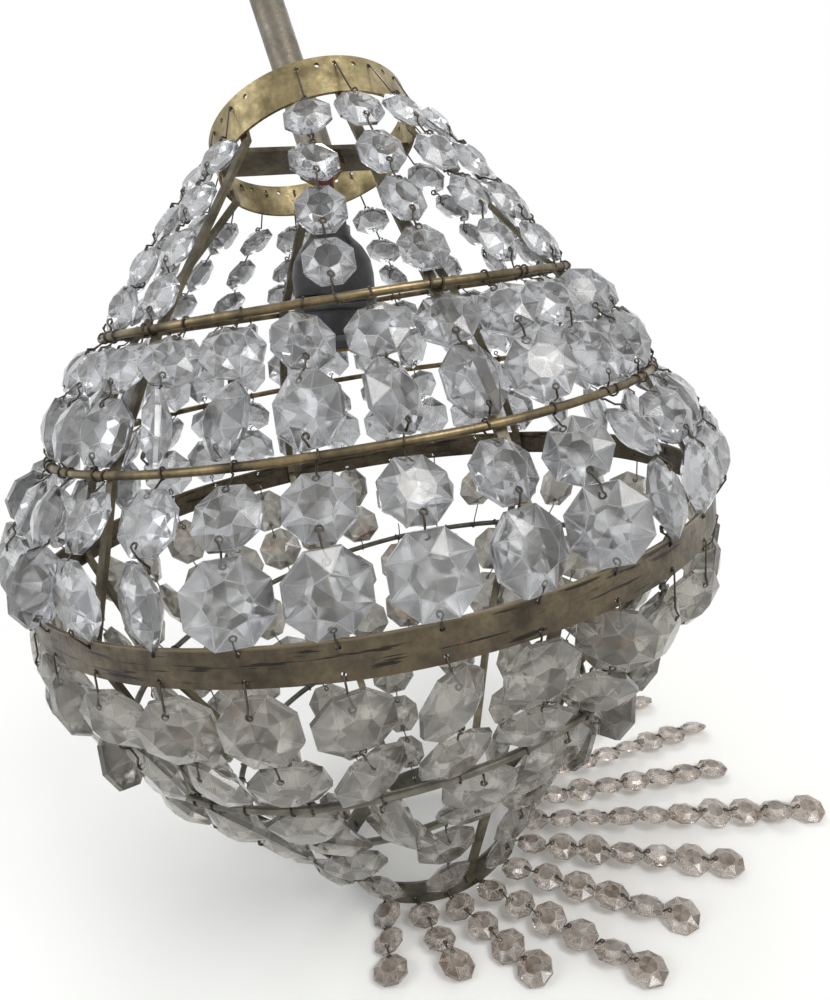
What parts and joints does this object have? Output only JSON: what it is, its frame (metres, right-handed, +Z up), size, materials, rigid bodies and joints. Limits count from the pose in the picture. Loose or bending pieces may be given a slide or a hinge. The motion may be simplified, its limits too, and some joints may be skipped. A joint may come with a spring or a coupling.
{
  "type": "crystal chandelier",
  "caption": "Basket chandelier of metal hoops hung with linked octagon crystals round a pendant lampholder, with free crystal strands and drops, on a leaning stem.",
  "frame": {"origin": "on the stem's axis, 10 mm below its top end, the middle of the length that a ceiling coupler grips", "axes": "+Z up with the basket upright; the stem and crown lean towards +Y and a little -X; +X is the side the free strands lie to; -Y faces the viewer"},
  "size_m": [0.3444, 0.3073, 0.4114],
  "materials": {
    "crystal": "polished cut glass, dusty",
    "strand_crystal": "polished cut glass, brown with dust",
    "pin_wire": "rusty wire",
    "hoop_brass": "tarnished",
    "band_metal": "dark tarnish",
    "crown_brass": "tarnished, gold showing",
    "strut_iron": "dark",
    "lower_wire": "dull",
    "stem_metal": "tarnished, dull",
    "crossbar_iron": "dark",
    "flex": "matte",
    "bakelite": "worn",
    "porcelain": "glazed",
    "contact_brass": "bright"
  },
  "bodies": {
    "frame": {"stem_tube": "stem_metal", "stem_nipple": "stem_metal", "stem_nut": "crossbar_iron", "crossbar": "crossbar_iron", "crown_band": "crown_brass", "upper_struts": "strut_iron", "hoop_1": "hoop_brass", "hoop_2": "hoop_brass", "main_band": "band_metal", "lower_struts": "strut_iron", "lower_hoop_1": "lower_wire", "lower_hoop_2": "lower_wire", "bottom_band": "band_metal", "crown_crystals": "crystal", "crown_pins": "pin_wire", "upper_crystals": "crystal", "upper_pins": "pin_wire", "middle_crystals": "crystal", "middle_pins": "pin_wire", "skirt_crystals": "crystal", "bowl_crystals": "crystal", "base_crystals": "crystal", "lower_pins": "pin_wire"},
    "lampholder": {"lamp_cable": "flex", "cord_grip": "bakelite", "lampholder_cap": "bakelite", "lampholder_collar": "bakelite", "lampholder_body": "bakelite", "contact_block": "porcelain", "contact_plungers": "contact_brass", "socket_liner": "contact_brass"},
    "shade_ring": {"shade_ring": "bakelite"},
    "drop_1": {"drop_1_crystals": "crystal", "drop_1_pins": "pin_wire"},
    "drop_2": {"drop_2_crystals": "crystal", "drop_2_pins": "pin_wire"},
    "drop_3": {"drop_3_crystals": "crystal", "drop_3_pins": "pin_wire"},
    "drop_4": {"drop_4_crystals": "crystal", "drop_4_pins": "pin_wire"},
    "strand_01": {"strand_01_crystals": "strand_crystal", "strand_01_pins": "pin_wire"},
    "strand_02": {"strand_02_crystals": "strand_crystal", "strand_02_pins": "pin_wire"},
    "strand_03": {"strand_03_crystals": "strand_crystal", "strand_03_pins": "pin_wire"},
    "strand_04": {"strand_04_crystals": "strand_crystal", "strand_04_pins": "pin_wire"},
    "strand_05": {"strand_05_crystals": "strand_crystal", "strand_05_pins": "pin_wire"},
    "strand_06": {"strand_06_crystals": "strand_crystal", "strand_06_pins": "pin_wire"},
    "strand_07": {"strand_07_crystals": "strand_crystal", "strand_07_pins": "pin_wire"},
    "strand_08": {"strand_08_crystals": "strand_crystal", "strand_08_pins": "pin_wire"},
    "strand_09": {"strand_09_crystals": "strand_crystal", "strand_09_pins": "pin_wire"},
    "strand_10": {"strand_10_crystals": "strand_crystal", "strand_10_pins": "pin_wire"}
  },
  "joints": [
    {"name": "lamp_swing", "type": "hinge", "parent": "frame", "child": "lampholder", "pos_m": [0.01188, -0.02745, -0.0771], "axis": [0, 1, 0], "range_deg": [-12, 12]},
    {"name": "shade_ring_turn", "type": "hinge", "parent": "lampholder", "child": "shade_ring", "pos_m": [0.00632, -0.02745, -0.14066], "axis": [0.0872, 0, 0.9962], "continuous": true},
    {"name": "drop_1_swing", "type": "hinge", "parent": "frame", "child": "drop_1", "pos_m": [0.15842, -0.03561, -0.23029], "axis": [-0.098, -0.9952, 0], "range_deg": [-10, 60]},
    {"name": "drop_2_swing", "type": "hinge", "parent": "frame", "child": "drop_2", "pos_m": [0.15842, -0.00609, -0.23029], "axis": [0.098, -0.9952, 0], "range_deg": [-10, 60]},
    {"name": "drop_3_swing", "type": "hinge", "parent": "frame", "child": "drop_3", "pos_m": [-0.14125, -0.03561, -0.23029], "axis": [-0.098, 0.9952, 0], "range_deg": [-10, 60]},
    {"name": "drop_4_swing", "type": "hinge", "parent": "frame", "child": "drop_4", "pos_m": [-0.13549, -0.06456, -0.23029], "axis": [-0.2903, 0.9569, 0], "range_deg": [-10, 60]},
    {"name": "strand_01_swing", "type": "hinge", "parent": "frame", "child": "strand_01", "pos_m": [-0.01627, -0.06987, -0.39548], "axis": [1, 0, 0], "range_deg": [0, 88.2]},
    {"name": "strand_02_swing", "type": "hinge", "parent": "frame", "child": "strand_02", "pos_m": [-0.00328, -0.07634, -0.39434], "axis": [0.9272, 0.3746, 0], "range_deg": [0, 86.9]},
    {"name": "strand_03_swing", "type": "hinge", "parent": "frame", "child": "strand_03", "pos_m": [0.01116, -0.07785, -0.39308], "axis": [0.8192, 0.5736, 0], "range_deg": [0, 86.4]},
    {"name": "strand_04_swing", "type": "hinge", "parent": "frame", "child": "strand_04", "pos_m": [0.02525, -0.07458, -0.39184], "axis": [0.6947, 0.7193, 0], "range_deg": [0, 86.8]},
    {"name": "strand_05_swing", "type": "hinge", "parent": "frame", "child": "strand_05", "pos_m": [0.03762, -0.06706, -0.39076], "axis": [0.5299, 0.848, 0], "range_deg": [0, 86.1]},
    {"name": "strand_06_swing", "type": "hinge", "parent": "frame", "child": "strand_06", "pos_m": [0.04708, -0.056, -0.38993], "axis": [0.3256, 0.9455, 0], "range_deg": [0, 86.2]},
    {"name": "strand_07_swing", "type": "hinge", "parent": "frame", "child": "strand_07", "pos_m": [0.05189, -0.04225, -0.38951], "axis": [0.1564, 0.9877, 0], "range_deg": [0, 87.2]},
    {"name": "strand_08_swing", "type": "hinge", "parent": "frame", "child": "strand_08", "pos_m": [0.05219, -0.02774, -0.38949], "axis": [-0.0523, 0.9986, 0], "range_deg": [0, 86.5]},
    {"name": "strand_09_swing", "type": "hinge", "parent": "frame", "child": "strand_09", "pos_m": [0.04797, -0.01385, -0.38986], "axis": [-0.2419, 0.9703, 0], "range_deg": [0, 87]},
    {"name": "strand_10_swing", "type": "hinge", "parent": "frame", "child": "strand_10", "pos_m": [0.03945, -0.00205, -0.3906], "axis": [-0.4384, 0.8988, 0], "range_deg": [0, 87.3]}
  ]
}
